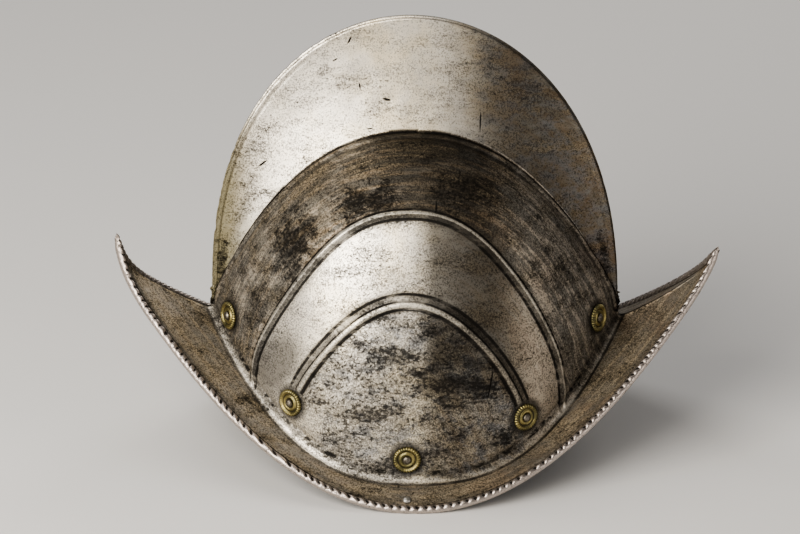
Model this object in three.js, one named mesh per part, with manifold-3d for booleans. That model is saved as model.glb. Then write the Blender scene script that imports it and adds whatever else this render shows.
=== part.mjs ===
// Comb morion helmet of steel plate, in millimetres, +Z up.
// The front points along -X, the wearer's left side is -Y, and the brim rests on the floor at z = 0.
import * as THREE from "three";
import { mergeVertices } from "three/addons/utils/BufferGeometryUtils.js";
import Module from "manifold-3d";

const wasm = await Module();
wasm.setup();

// Plate and seam
const WALL = 1.4;
const SEAM_GAP = 0.3;

// Brim: its edge in plan along the developed middle line, its reach out past the middle of the skull,
// and the sweep of its edge in side view
const BRIM = {
  halfLength: 183,
  reach: 22,
  planPower: 2.15,
  planRound: 1.25,
  sweep: 117,
  slope: 0.46,
  curlStart: 0.82,
  curlPower: 3,
};
const EDGE_ROLL = 2.4;
const ROLL_QUARTERS = 1.5;
const REST_FLAT = 0.3;
const TIPS = {
  front: { pull: 10, lift: 8.5, slope: 0.46 },
  back: { pull: 6.7, lift: 0, slope: 0.31 },
};

// Skull: almond plan at its base, and the root of the comb in side view
const SKULL = {
  halfLength: 118,
  halfWidth: 94,
  planPower: 2.85,
  sectionPower: 2.1,
  crestHeight: 195,
  crestPlan: 2.3,
  crestRound: 0.9,
  noseHeight: 4,
};
const NECK = 6;

// Comb: a hollow blade, thick at its root, with a narrow edge
const COMB = {
  top: 262.5,
  halfLength: 117.7,
  outlineRound: 2.3,
  rootHalfWidth: 13.5,
  rootFade: 4,
  hollowPower: 1.7,
  footHeight: 4,
  lean: -2.3,
};

// Raised ribs: centre and half reach along X, rise as a share of the skull's height, and sections
// given as sideways shares of the rib's width and heights as shares of the rib's height
const RIB_SINK = 0.98;
const RIB_END_SHARE = 0.25;
const RIBS = {
  outer: {
    centre: -4, reach: 89.5, rise: 0.825, power: 2.5, width: 4.6, height: 1.5, steps: 26,
    section: [
      { side: -0.5, up: 0 },
      { side: -0.2, up: 1 },
      { side: 0.2, up: 1 },
      { side: 0.5, up: 0 },
    ],
  },
  inner: {
    centre: -4, reach: 70, rise: 0.577, power: 2, width: 8.4, height: 1.5, steps: 22,
    section: [
      { side: -0.5, up: 0 },
      { side: -0.34, up: 1 },
      { side: -0.05, up: 1 },
      { side: 0.12, up: 0.3 },
      { side: 0.5, up: 0.1 },
    ],
  },
};

// Rosettes and rivets: stations along the skull and heights above its foot
const ROSETTE = {
  radius: 8.2, lobes: 9, lobeDepth: 0.7, thickness: 1.1, ringShare: 0.8, ringRise: 0.8,
  seatGap: 0.3,
};
const RIVET = {
  shankRadius: 1.3, headRadius: 2.5, headRise: 1.7, clearance: 0.3,
  burrRadius: 2, burrRise: 0.8, burrGap: 0.6,
  shoulderOut: 0.7, shoulderUp: 0.75, holeReach: 5.6,
};
const SEATS = {
  front: { station: -0.91, height: 18.5 },
  middle: { station: -0.04, height: 13.5 },
  back: { station: 0.895, height: 24.5 },
  ribFoot: { share: 0.965, height: 19.5 },
};
const BRIM_RIVET = { along: -0.04, outShare: 0.62 };

// Fineness of the faceted walls
const COLUMNS = 32;
const ROWS = { comb: 3, skull: 11, neck: 2, brim: 2, roll: 5 };
const RIVET_SIDES = 6;
const SAMPLE = 1e-3;
const SEARCH_PASSES = 30;

const STEEL = { color: 0xb3ab98, roughness: 0.42, metalness: 1 };
const BRASS = { color: 0xa88a45, roughness: 0.45, metalness: 1 };
const IRON = { color: 0x8d857b, roughness: 0.5, metalness: 1 };

const quarterTurn = Math.PI / 2;
const halfGap = SEAM_GAP / 2;
const edgeHalfThickness = halfGap + WALL;
const brimHalfWidth = SKULL.halfWidth + BRIM.reach;
const rollHeight = EDGE_ROLL * (1 - Math.sin(Math.atan(BRIM.slope))) - REST_FLAT;

// Brim surface
const tipAt = (along) => (along < 0 ? TIPS.front : TIPS.back);

function curlAt(along) {
  const share = (Math.abs(along) / BRIM.halfLength - BRIM.curlStart) / (1 - BRIM.curlStart);
  return share > 0 ? Math.pow(share, BRIM.curlPower) : 0;
}

function edgeHalfWidth(along) {
  const share = Math.min(1, Math.abs(along) / BRIM.halfLength);
  return brimHalfWidth * Math.pow(1 - Math.pow(share, BRIM.planPower), BRIM.planRound);
}

function brimPoint(along, out) {
  const curl = curlAt(along);
  const tip = tipAt(along);
  const edgeHeight = BRIM.sweep * Math.pow(along / BRIM.halfLength, 2) + tip.lift * curl;
  const x = along - Math.sign(along) * tip.pull * curl;
  const slope = THREE.MathUtils.lerp(BRIM.slope, tip.slope, Math.abs(along) / BRIM.halfLength);
  return new THREE.Vector3(x, -out, rollHeight + edgeHeight + slope * (edgeHalfWidth(along) - out));
}

// Skull surface between its base on the brim and the root of the comb
const endShare = (x) => Math.min(1, Math.abs(x) / SKULL.halfLength);
const baseHalfWidth = (x) => SKULL.halfWidth * (1 - Math.pow(endShare(x), SKULL.planPower));
const basePoint = (x) => brimPoint(x, baseHalfWidth(x));
const skullEnds = [-SKULL.halfLength, SKULL.halfLength].map((x) => basePoint(x).z);
const endHeight = Math.max(...skullEnds) + SKULL.noseHeight;
const combEndHeight = endHeight + COMB.footHeight;
const combRise = COMB.top - combEndHeight;
const leanAt = (z) => COMB.lean * Math.max(0, z - combEndHeight) / combRise;

function rootHeight(x) {
  const arch = Math.pow(1 - Math.pow(endShare(x), SKULL.crestPlan), SKULL.crestRound);
  return endHeight + (SKULL.crestHeight - endHeight) * arch;
}

function rootHalfWidth(x) {
  return COMB.rootHalfWidth * (1 - Math.pow(endShare(x), COMB.rootFade));
}

function skullPoint(x, share) {
  const base = basePoint(x);
  const wide = baseHalfWidth(x);
  const z = base.z + (rootHeight(x) - base.z) * share;
  const ratio = wide > 0 ? Math.min(1, rootHalfWidth(x) / wide) : 1;
  const reach = Math.pow(1 - Math.pow(ratio, SKULL.sectionPower), 1 / SKULL.sectionPower);
  const round = Math.pow(1 - Math.pow(share * reach, SKULL.sectionPower), 1 / SKULL.sectionPower);
  return new THREE.Vector3(base.x + leanAt(z), -Math.max(wide * round, edgeHalfThickness), z);
}

// Comb surface from its root to its edge
function combPoint(x, share) {
  const root = skullPoint(x, 1);
  const angle = quarterTurn * x / SKULL.halfLength;
  const edgeZ = combEndHeight + combRise * Math.pow(Math.cos(angle), 2 / COMB.outlineRound);
  const edgeX = COMB.halfLength * Math.sin(angle) + leanAt(edgeZ);
  const swell = Math.pow(1 - share, COMB.hollowPower);
  const y = -edgeHalfThickness + (root.y + edgeHalfThickness) * swell;
  return new THREE.Vector3(
    THREE.MathUtils.lerp(root.x, edgeX, share),
    y,
    THREE.MathUtils.lerp(root.z, edgeZ, share),
  );
}

// Outer side of one fore-and-aft column, from the comb's edge down to the rolled edge of the brim
function outerColumn(station) {
  const x = SKULL.halfLength * Math.sin(quarterTurn * station);
  const along = BRIM.halfLength * station;
  const base = basePoint(x);
  const brimAt = (share) => {
    const q = THREE.MathUtils.lerp(x, along, share);
    const out = THREE.MathUtils.lerp(baseHalfWidth(x), edgeHalfWidth(along), share);
    const point = brimPoint(q, out);
    point.y = Math.min(point.y, -edgeHalfThickness * (1 - share) - halfGap * share);
    return point;
  };
  const run = base.distanceTo(brimAt(1));
  const neckUp = NECK / (rootHeight(x) - base.z + NECK);
  const neckOut = NECK / (run + NECK);
  const rollStart = 1 - 2 * EDGE_ROLL / run;
  const points = [];
  for (let row = 0; row < ROWS.comb; row += 1) points.push(combPoint(x, 1 - row / ROWS.comb));
  for (let row = 0; row < ROWS.skull; row += 1) {
    const share = Math.cos(quarterTurn * row / ROWS.skull);
    points.push(skullPoint(x, THREE.MathUtils.lerp(neckUp, 1, row === 0 ? 1 : share)));
  }
  const neck = new THREE.QuadraticBezierCurve3(skullPoint(x, neckUp), skullPoint(x, 0), brimAt(neckOut));
  for (let row = 0; row < ROWS.neck; row += 1) points.push(neck.getPoint(row / ROWS.neck));
  for (let row = 0; row <= ROWS.brim; row += 1) {
    points.push(brimAt(THREE.MathUtils.lerp(neckOut, rollStart, row / ROWS.brim)));
  }
  return { points, edge: brimAt(1) };
}

// Rolled edge: the arc that goes round from the top of the brim to its underside
function rollArc(column, normal) {
  const last = column.points[column.points.length - 1];
  const out = column.edge.clone().sub(last).normalize();
  const up = normal.clone().addScaledVector(out, -normal.dot(out)).normalize();
  const centre = column.edge.clone().addScaledVector(out, -EDGE_ROLL);
  const arc = [];
  for (let step = 0; step <= ROWS.roll; step += 1) {
    const turn = quarterTurn * ROLL_QUARTERS * (1 - 2 * step / ROWS.roll);
    const point = centre.clone().addScaledVector(out, EDGE_ROLL * Math.cos(turn));
    arc.push(point.addScaledVector(up, EDGE_ROLL * Math.sin(turn)));
  }
  return arc;
}

// Solid of one plate half: outer side, roll and inner side of every column, closed at both ends
function plateShell() {
  const columns = [];
  for (let index = 0; index <= COLUMNS; index += 1) columns.push(outerColumn(2 * index / COLUMNS - 1));
  const rowCount = columns[0].points.length;
  const at = (column, row) => columns[column].points[row];
  const clampIndex = (value, count) => Math.min(count, Math.max(0, value));

  function normalAt(column, row) {
    const ahead = at(clampIndex(column + 1, COLUMNS), row);
    const behind = at(clampIndex(column - 1, COLUMNS), row);
    const below = at(column, clampIndex(row + 1, rowCount - 1));
    const above = at(column, clampIndex(row - 1, rowCount - 1));
    const alongX = ahead.clone().sub(behind);
    const down = below.clone().sub(above);
    return down.cross(alongX).normalize();
  }

  const loops = columns.map((column, index) => {
    const normals = column.points.map((_, row) => normalAt(index, row));
    const inner = column.points.map((point, row) => {
      const moved = point.clone().addScaledVector(normals[row], -WALL);
      const onSeam = row === 0 || index === 0 || index === COLUMNS;
      moved.y = onSeam ? -halfGap : Math.min(moved.y, -halfGap);
      return moved;
    });
    const arc = rollArc(column, normals[rowCount - 1]);
    const atTip = index === 0 || index === COLUMNS;
    for (const point of arc) point.y = atTip ? -halfGap : Math.min(point.y, -halfGap);
    return [...column.points, ...arc, ...inner.reverse()];
  });

  const loopLength = loops[0].length;
  const positions = loops.flat().flatMap((point) => [point.x, point.y, point.z]);
  const vertex = (column, row) => column * loopLength + (row % loopLength);
  const faces = [];
  for (let column = 0; column < COLUMNS; column += 1) {
    for (let row = 0; row < loopLength; row += 1) {
      const corners = [
        vertex(column, row), vertex(column + 1, row), vertex(column + 1, row + 1), vertex(column, row + 1),
      ];
      faces.push(corners[0], corners[2], corners[1], corners[0], corners[3], corners[2]);
    }
  }
  const rollCount = ROWS.roll + 1;
  for (const column of [0, COLUMNS]) {
    const triangles = [];
    for (let row = 0; row < rowCount - 1; row += 1) {
      const under = loopLength - 1 - row;
      triangles.push([row, row + 1, under - 1], [row, under - 1, under]);
    }
    for (let row = rowCount - 1; row < rowCount + rollCount - 1; row += 1) {
      triangles.push([row, row + 1, rowCount + rollCount]);
    }
    for (const [a, b, c] of triangles) {
      const ordered = column === 0 ? [a, c, b] : [a, b, c];
      faces.push(...ordered.map((row) => vertex(column, row)));
    }
  }
  const geometry = new THREE.BufferGeometry();
  geometry.setAttribute("position", new THREE.Float32BufferAttribute(positions, 3));
  geometry.setIndex(faces);
  return geometry;
}

// Frame on the skull: point, outward normal, and directions along and across a path
function skullFrame(x, share) {
  const point = skullPoint(x, share);
  const stepX = SKULL.halfLength * SAMPLE;
  const fore = skullPoint(x + stepX, share).sub(skullPoint(x - stepX, share));
  const rise = skullPoint(x, share + SAMPLE).sub(skullPoint(x, share - SAMPLE));
  const normal = fore.clone().cross(rise).normalize();
  return { point, normal };
}

function shareAtHeight(x, height) {
  return height / (rootHeight(x) - basePoint(x).z);
}

function ribShare(rib, x) {
  const side = Math.min(1, Math.abs(x - rib.centre) / rib.reach);
  return rib.rise * Math.pow(1 - Math.pow(side, rib.power), 1 / rib.power);
}

// Place on a rib's path for an angle that goes from one foot to the other
function ribPlace(rib, angle) {
  const side = Math.sign(angle) * Math.pow(Math.abs(Math.sin(angle)), 2 / rib.power);
  const x = rib.centre + rib.reach * side;
  return { x, share: ribShare(rib, x) };
}

// Angle at which a rib ends: where its path comes to the neck, or to the rim of a rosette at its foot
function ribEndAngle(rib, sign, spot) {
  let low = 0;
  let high = quarterTurn;
  for (let pass = 0; pass < SEARCH_PASSES; pass += 1) {
    const middle = (low + high) / 2;
    const place = ribPlace(rib, sign * middle);
    const clearOfNeck = place.share * (rootHeight(place.x) - basePoint(place.x).z) > NECK;
    const point = skullPoint(place.x, place.share);
    const clearOfRosette = !spot || (point.z > spot.z && point.distanceTo(spot) > ribStop);
    if (clearOfNeck && clearOfRosette) low = middle;
    else high = middle;
  }
  return sign * low;
}

// Raised rib as a solid strip that is sunk a little into the plate
function ribSolid(rib, spots) {
  const start = ribEndAngle(rib, -1, spots[0]);
  const end = ribEndAngle(rib, 1, spots[1]);
  const rings = [];
  for (let step = 0; step <= rib.steps; step += 1) {
    const angle = THREE.MathUtils.lerp(start, end, step / rib.steps);
    const here = ribPlace(rib, angle);
    const before = ribPlace(rib, angle - SAMPLE);
    const after = ribPlace(rib, angle + SAMPLE);
    const { point, normal } = skullFrame(here.x, here.share);
    const path = skullPoint(after.x, after.share).sub(skullPoint(before.x, before.share)).normalize();
    const across = normal.clone().cross(path).normalize();
    const place = (side, up) => point.clone().addScaledVector(across, side).addScaledVector(normal, up);
    const top = rib.section.map((knot) => place(knot.side * rib.width, knot.up * rib.height));
    const first = rib.section[0].side * rib.width;
    const last = rib.section[rib.section.length - 1].side * rib.width;
    rings.push([...top, place(last, -RIB_SINK), place(first, -RIB_SINK)]);
  }
  return sweptRings(rings);
}

// Closed body through rings of points, each ring a convex or nearly flat outline
function sweptRings(rings) {
  const count = rings[0].length;
  const positions = rings.flat().flatMap((point) => [point.x, point.y, point.z]);
  const faces = [];
  for (let ring = 0; ring < rings.length - 1; ring += 1) {
    for (let side = 0; side < count; side += 1) {
      const next = (side + 1) % count;
      const a = ring * count + side;
      const b = ring * count + next;
      faces.push(a, b + count, b, a, a + count, b + count);
    }
  }
  const low = count - 1;
  const lastRing = (rings.length - 1) * count;
  for (let side = 0; side < count - 2; side += 1) {
    faces.push(low, side, side + 1);
    faces.push(lastRing + low, lastRing + side + 1, lastRing + side);
  }
  const geometry = new THREE.BufferGeometry();
  geometry.setAttribute("position", new THREE.Float32BufferAttribute(positions, 3));
  geometry.setIndex(faces);
  return geometry;
}

// Joining and cutting
function closedBody(geometry) {
  const bare = geometry.clone();
  bare.deleteAttribute("normal");
  bare.deleteAttribute("uv");
  return mergeVertices(bare);
}

function toManifold(geometry) {
  const merged = closedBody(geometry);
  return new wasm.Manifold(new wasm.Mesh({
    numProp: 3,
    vertProperties: new Float32Array(merged.attributes.position.array),
    triVerts: new Uint32Array(merged.index.array),
  }));
}

function toGeometry(solid) {
  const mesh = solid.getMesh();
  const geometry = new THREE.BufferGeometry();
  geometry.setAttribute("position", new THREE.Float32BufferAttribute(Array.from(mesh.vertProperties), 3));
  geometry.setIndex(Array.from(mesh.triVerts));
  return geometry;
}

function mirrored(geometry) {
  const copy = geometry.clone();
  copy.scale(1, -1, 1);
  const index = copy.index.array;
  for (let face = 0; face < index.length; face += 3) {
    const swap = index[face + 1];
    index[face + 1] = index[face + 2];
    index[face + 2] = swap;
  }
  return copy;
}

// Turn a shape made round +Z so that +Z lies along a normal at a point
function placed(geometry, frame) {
  const turn = new THREE.Quaternion().setFromUnitVectors(new THREE.Vector3(0, 0, 1), frame.normal);
  const matrix = new THREE.Matrix4().compose(frame.point, turn, new THREE.Vector3(1, 1, 1));
  return geometry.clone().applyMatrix4(matrix);
}

// Brass rosette round its own axis, with its underside at z = 0
function rosetteGeometry() {
  const bore = RIVET.shankRadius + RIVET.clearance;
  const ring = THREE.MathUtils.lerp(bore, ROSETTE.radius, ROSETTE.ringShare);
  const top = ROSETTE.thickness + ROSETTE.ringRise;
  const profile = [
    new THREE.Vector2(bore, 0),
    new THREE.Vector2(ROSETTE.radius, 0),
    new THREE.Vector2(ROSETTE.radius, ROSETTE.thickness),
    new THREE.Vector2(ring, top),
    new THREE.Vector2(bore, ROSETTE.thickness),
    new THREE.Vector2(bore, 0),
  ];
  const geometry = new THREE.LatheGeometry(profile, 2 * ROSETTE.lobes);
  geometry.rotateX(quarterTurn);
  const position = geometry.attributes.position;
  for (let index = 0; index < position.count; index += 1) {
    const x = position.getX(index);
    const y = position.getY(index);
    const radius = Math.hypot(x, y);
    const lobe = Math.cos(ROSETTE.lobes * Math.atan2(y, x));
    const pulled = radius > ring ? 1 - (1 - lobe) * ROSETTE.lobeDepth / 2 / radius : 1;
    position.setXY(index, x * pulled, y * pulled);
  }
  return geometry;
}

// Steel rivet round its own axis: head on top of a seat at z = 0, and a burr behind a grip of plate
function rivetGeometry(grip) {
  const under = -grip - RIVET.burrGap;
  const profile = [
    new THREE.Vector2(0, under - RIVET.burrRise),
    new THREE.Vector2(RIVET.burrRadius, under),
    new THREE.Vector2(RIVET.shankRadius, under),
    new THREE.Vector2(RIVET.shankRadius, 0),
    new THREE.Vector2(RIVET.headRadius, 0),
    new THREE.Vector2(RIVET.headRadius * RIVET.shoulderOut, RIVET.headRise * RIVET.shoulderUp),
    new THREE.Vector2(0, RIVET.headRise),
  ];
  const geometry = new THREE.LatheGeometry(profile, RIVET_SIDES);
  geometry.rotateX(quarterTurn);
  return geometry;
}

function holeGeometry() {
  const radius = RIVET.shankRadius + RIVET.clearance;
  const geometry = new THREE.CylinderGeometry(radius, radius, 2 * RIVET.holeReach, RIVET_SIDES);
  geometry.rotateX(quarterTurn);
  return geometry;
}

// Stations of the rosettes, from front to back: two at the ends, two at the feet of the inner rib
const stations = [
  { x: SEATS.front.station * SKULL.halfLength, height: SEATS.front.height },
  { x: RIBS.inner.centre - RIBS.inner.reach * SEATS.ribFoot.share, height: SEATS.ribFoot.height },
  { x: SEATS.middle.station * SKULL.halfLength, height: SEATS.middle.height },
  { x: RIBS.inner.centre + RIBS.inner.reach * SEATS.ribFoot.share, height: SEATS.ribFoot.height },
  { x: SEATS.back.station * SKULL.halfLength, height: SEATS.back.height },
];
const ribStop = ROSETTE.radius + RIBS.inner.width * RIB_END_SHARE;
const seats = stations.map(({ x, height }) => skullFrame(x, shareAtHeight(x, height)));

function brimSeat() {
  const along = BRIM_RIVET.along * SKULL.halfLength;
  const out = THREE.MathUtils.lerp(baseHalfWidth(along), edgeHalfWidth(along), BRIM_RIVET.outShare);
  const point = brimPoint(along, out);
  const fore = brimPoint(along + 1, out).sub(point);
  const outward = brimPoint(along, out + 1).sub(point);
  return { point, normal: outward.cross(fore).normalize() };
}

const brimFrame = brimSeat();
const raisedFrame = (frame, height) => ({
  point: frame.point.clone().addScaledVector(frame.normal, height),
  normal: frame.normal,
});

function plateHalf() {
  const feet = [seats[1].point, seats[3].point];
  let solid = toManifold(plateShell());
  solid = solid.add(toManifold(ribSolid(RIBS.outer, [])));
  solid = solid.add(toManifold(ribSolid(RIBS.inner, feet)));
  for (const frame of [...seats, brimFrame]) {
    solid = solid.subtract(toManifold(placed(holeGeometry(), frame)));
  }
  const floorDepth = 2 * EDGE_ROLL;
  const floorBlock = new THREE.BoxGeometry(4 * BRIM.halfLength, 4 * brimHalfWidth, floorDepth);
  floorBlock.translate(0, 0, -floorDepth / 2);
  return toGeometry(solid.subtract(toManifold(floorBlock)));
}

const model = new THREE.Group();

function addMesh(name, geometry, look) {
  const mesh = new THREE.Mesh(geometry, new THREE.MeshStandardMaterial(look));
  mesh.geometry.computeVertexNormals();
  mesh.name = name;
  model.add(mesh);
}

const leftHalf = plateHalf();
const rosette = closedBody(rosetteGeometry());
const rosetteStack = ROSETTE.seatGap + ROSETTE.thickness;
const skullRivet = closedBody(rivetGeometry(WALL + rosetteStack + RIVET.clearance));
const brimRivet = closedBody(rivetGeometry(WALL + RIVET.clearance));

for (const side of ["left", "right"]) {
  const turned = side === "left" ? (geometry) => geometry : mirrored;
  addMesh(`skull_${side}`, turned(leftHalf), STEEL);
  seats.forEach((frame, index) => {
    const name = `${side}_${index + 1}`;
    addMesh(`rosette_${name}`, turned(placed(rosette, raisedFrame(frame, ROSETTE.seatGap))), BRASS);
    const head = raisedFrame(frame, rosetteStack + RIVET.clearance);
    addMesh(`rivet_${name}`, turned(placed(skullRivet, head)), IRON);
  });
  addMesh(`brim_rivet_${side}`, turned(placed(brimRivet, raisedFrame(brimFrame, RIVET.clearance))), IRON);
}

export default model;
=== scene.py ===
"""Comb morion helmet: old pitted steel plate with a roped brim edge and brass rosettes, in metres, +Z up."""
import logging
import math
from dataclasses import dataclass, field
from enum import Enum

import bmesh
import bpy
from mathutils import Matrix, Vector, noise
from mathutils.kdtree import KDTree


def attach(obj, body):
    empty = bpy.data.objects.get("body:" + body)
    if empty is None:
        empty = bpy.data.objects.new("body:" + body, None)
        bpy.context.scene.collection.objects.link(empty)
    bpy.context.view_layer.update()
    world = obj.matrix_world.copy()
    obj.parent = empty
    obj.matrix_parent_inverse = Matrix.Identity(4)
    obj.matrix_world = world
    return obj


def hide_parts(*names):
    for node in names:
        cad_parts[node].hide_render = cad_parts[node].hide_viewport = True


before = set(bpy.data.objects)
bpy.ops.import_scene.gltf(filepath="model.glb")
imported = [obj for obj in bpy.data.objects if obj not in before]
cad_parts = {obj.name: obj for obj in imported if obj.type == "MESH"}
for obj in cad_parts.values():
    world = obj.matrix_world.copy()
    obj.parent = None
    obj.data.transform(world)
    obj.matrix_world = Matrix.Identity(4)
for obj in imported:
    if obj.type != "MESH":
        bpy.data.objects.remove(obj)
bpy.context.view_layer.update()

log = logging.getLogger("morion")
MM = 0.001
QUARTER = math.pi / 2
STREAK_OCTAVES = 6.0
THROUGH = 1e6
FAR_AWAY = 50.0
NECK_CORNER = 2.4
NECK_SPAN = 0.9
Point = tuple[float, float, float]
Colour = tuple[float, float, float, float]


class Side(Enum):
    """The two plate halves. The value is the sign of their side of the middle plane."""

    LEFT = -1
    RIGHT = 1

    @property
    def label(self) -> str:
        """Name of the side in plain words."""
        return self.name.lower()


class Zone(Enum):
    """Zones of the plate down its section, as the finish reads them."""

    COMB = 0.0
    SKULL = 1.0
    NECK = 2.0
    BRIM = 3.0
    ROPE = 4.0


def lerp(low: float, high: float, share: float) -> float:
    """Value at a share of the way from low to high."""
    return low + (high - low) * share


def smooth(low: float, high: float, value: float) -> float:
    """Smooth step from 0 at low to 1 at high."""
    share = min(1.0, max(0.0, (value - low) / (high - low)))
    return share * share * (3 - 2 * share)


def bell(value: float, centre: float, width: float) -> float:
    """1 at a centre, falling off on both sides like a bell."""
    return math.exp(-((value - centre) / width) ** 2)


@dataclass(frozen=True)
class Tip:
    """One end of the brim: how far its curl pulls it in and lifts it, and the slope of the brim there."""

    pull: float
    lift: float
    slope: float


@dataclass(frozen=True)
class Rib:
    """An embossed rib: centre and half reach along X in mm, and its rise as a share of the skull's height."""

    centre: float
    reach: float
    rise: float
    power: float
    width: float
    height: float


@dataclass(frozen=True)
class Form:
    """Sizes and surface of the plate, in millimetres, as the solid parts have them."""

    wall: float = 1.4
    seam_gap: float = 0.3
    brim_length: float = 183.0
    brim_width: float = 116.0
    brim_power: float = 2.15
    brim_round: float = 1.25
    brim_sweep: float = 117.0
    brim_slope: float = 0.46
    curl_start: float = 0.82
    curl_power: float = 3.0
    roll: float = 2.4
    rest_flat: float = 0.3
    front: Tip = Tip(10.0, 8.5, 0.46)
    back: Tip = Tip(6.7, 0.0, 0.31)
    skull_length: float = 118.0
    skull_width: float = 94.0
    plan_power: float = 2.85
    section_power: float = 2.1
    crest_height: float = 195.0
    crest_plan: float = 2.3
    crest_round: float = 0.9
    nose_height: float = 4.0
    neck: float = 6.0
    comb_top: float = 262.5
    comb_length: float = 117.7
    outline_round: float = 2.3
    root_width: float = 13.5
    root_fade: float = 4.0
    hollow_power: float = 1.7
    foot_height: float = 4.0
    lean: float = -2.3
    outer_rib: Rib = Rib(-4.0, 89.5, 0.825, 2.5, 4.6, 1.5)
    inner_rib: Rib = Rib(-4.0, 70.0, 0.577, 2.0, 8.4, 1.5)

    @property
    def half_gap(self) -> float:
        """Half of the gap between the two plates."""
        return self.seam_gap / 2

    @property
    def edge_half(self) -> float:
        """Distance of the outer side from the middle plane where the plates meet flat."""
        return self.half_gap + self.wall

    @property
    def roll_height(self) -> float:
        """Height of the brim's edge line over the surface it rests on."""
        return self.roll * (1 - math.sin(math.atan(self.brim_slope))) - self.rest_flat

    @property
    def end_height(self) -> float:
        """Height at which the root of the comb comes down to the seam."""
        ends = (-self.skull_length, self.skull_length)
        return max(self.base(x).z for x in ends) + self.nose_height

    @property
    def comb_end(self) -> float:
        """Height at which the outline of the comb ends."""
        return self.end_height + self.foot_height

    def edge_width(self, along: float) -> float:
        """Half width of the brim's edge at a distance along its middle line."""
        share = min(1.0, abs(along) / self.brim_length)
        return self.brim_width * (1 - share ** self.brim_power) ** self.brim_round

    def brim(self, along: float, out: float) -> Vector:
        """Point of the brim's upper side.

        Args:
            along: Distance along the middle line of the brim, negative to the front.
            out: Distance out from the middle plane.

        Returns:
            The point on the left half.
        """
        tip = self.front if along < 0 else self.back
        share = abs(along) / self.brim_length
        curl = max(0.0, (share - self.curl_start) / (1 - self.curl_start)) ** self.curl_power
        height = self.brim_sweep * share * share + tip.lift * curl
        slope = lerp(self.brim_slope, tip.slope, share)
        x = along - math.copysign(tip.pull * curl, along)
        return Vector((x, -out, self.roll_height + height + slope * (self.edge_width(along) - out)))

    def end_share(self, x: float) -> float:
        """Share of the skull's half length at x."""
        return min(1.0, abs(x) / self.skull_length)

    def base_width(self, x: float) -> float:
        """Half width of the skull where it meets the brim."""
        return self.skull_width * (1 - self.end_share(x) ** self.plan_power)

    def base(self, x: float) -> Vector:
        """Point where the skull meets the brim."""
        return self.brim(x, self.base_width(x))

    def root_height(self, x: float) -> float:
        """Height of the line where the comb rises out of the skull."""
        arch = (1 - self.end_share(x) ** self.crest_plan) ** self.crest_round
        return lerp(self.end_height, self.crest_height, arch)

    def lean_at(self, z: float) -> float:
        """Shift of the helmet's upper part to the front at a height."""
        return self.lean * max(0.0, z - self.comb_end) / (self.comb_top - self.comb_end)

    def skull(self, x: float, share: float) -> Vector:
        """Point of the skull's outer side.

        Args:
            x: Place of the fore-and-aft section.
            share: Height in it, from 0 at the brim to 1 at the root of the comb.

        Returns:
            The point on the left half.
        """
        base = self.base(x)
        wide = self.base_width(x)
        z = lerp(base.z, self.root_height(x), share)
        root = self.root_width * (1 - self.end_share(x) ** self.root_fade)
        ratio = min(1.0, root / wide) if wide > 0 else 1.0
        power = self.section_power
        reach = (1 - ratio ** power) ** (1 / power)
        bulge = max(0.0, 1 - max(0.0, share * reach) ** power) ** (1 / power)
        return Vector((base.x + self.lean_at(z), -max(wide * bulge, self.edge_half), z))

    def comb(self, x: float, share: float, proud: float = 0.0) -> Vector:
        """Point of the comb's outer side.

        Args:
            x: Place of the section along the skull.
            share: Height in it, from 0 at the comb's root to 1 at its edge.
            proud: How far the edge stands out past the comb's outline.

        Returns:
            The point on the left half.
        """
        root = self.skull(x, 1.0)
        angle = QUARTER * x / self.skull_length
        rise = self.comb_top + proud - self.comb_end
        edge_z = self.comb_end + rise * max(0.0, math.cos(angle)) ** (2 / self.outline_round)
        edge_x = (self.comb_length + proud) * math.sin(angle) + self.lean_at(edge_z)
        swell = (1 - share) ** self.hollow_power
        y = -self.edge_half + (root.y + self.edge_half) * swell
        return Vector((lerp(root.x, edge_x, share), y, lerp(root.z, edge_z, share)))

    def rim(self, station: float, share: float) -> Vector:
        """Point of the brim on the section of a station.

        Args:
            station: Place along the helmet, from -1 at the front to 1 at the back.
            share: Way from the skull at 0 to the edge at 1.

        Returns:
            The point on the left half.
        """
        x = self.skull_length * math.sin(QUARTER * station)
        along = self.brim_length * station
        out = lerp(self.base_width(x), self.edge_width(along), share)
        point = self.brim(lerp(x, along, share), out)
        point.y = min(point.y, -lerp(self.edge_half, self.half_gap, share))
        return point

    def rib_point(self, rib: Rib, turn: float) -> Vector:
        """Point of a rib's middle line.

        Args:
            rib: The rib.
            turn: Way along it, from -1 at its front foot to 1 at its back foot.

        Returns:
            The point on the left half.
        """
        angle = QUARTER * turn
        side = math.copysign(abs(math.sin(angle)) ** (2 / rib.power), angle)
        x = rib.centre + rib.reach * side
        return self.skull(x, self.rib_share(rib, x))

    def rib_share(self, rib: Rib, x: float) -> float:
        """Height share of a rib's middle line at x."""
        side = min(1.0, abs(x - rib.centre) / rib.reach)
        return rib.rise * (1 - side ** rib.power) ** (1 / rib.power)

    def seat(self, x: float, height: float) -> tuple[Vector, Vector]:
        """Place on the skull at a height over its foot.

        Args:
            x: Place along the helmet.
            height: Height over the foot of the skull.

        Returns:
            The point and the outward normal.
        """
        share = height / (self.root_height(x) - self.base(x).z)
        step = 0.1
        fore = self.skull(x + step, share) - self.skull(x - step, share)
        rise = self.skull(x, share + 0.001) - self.skull(x, share - 0.001)
        return self.skull(x, share), fore.cross(rise).normalized()


FORM = Form()


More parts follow.
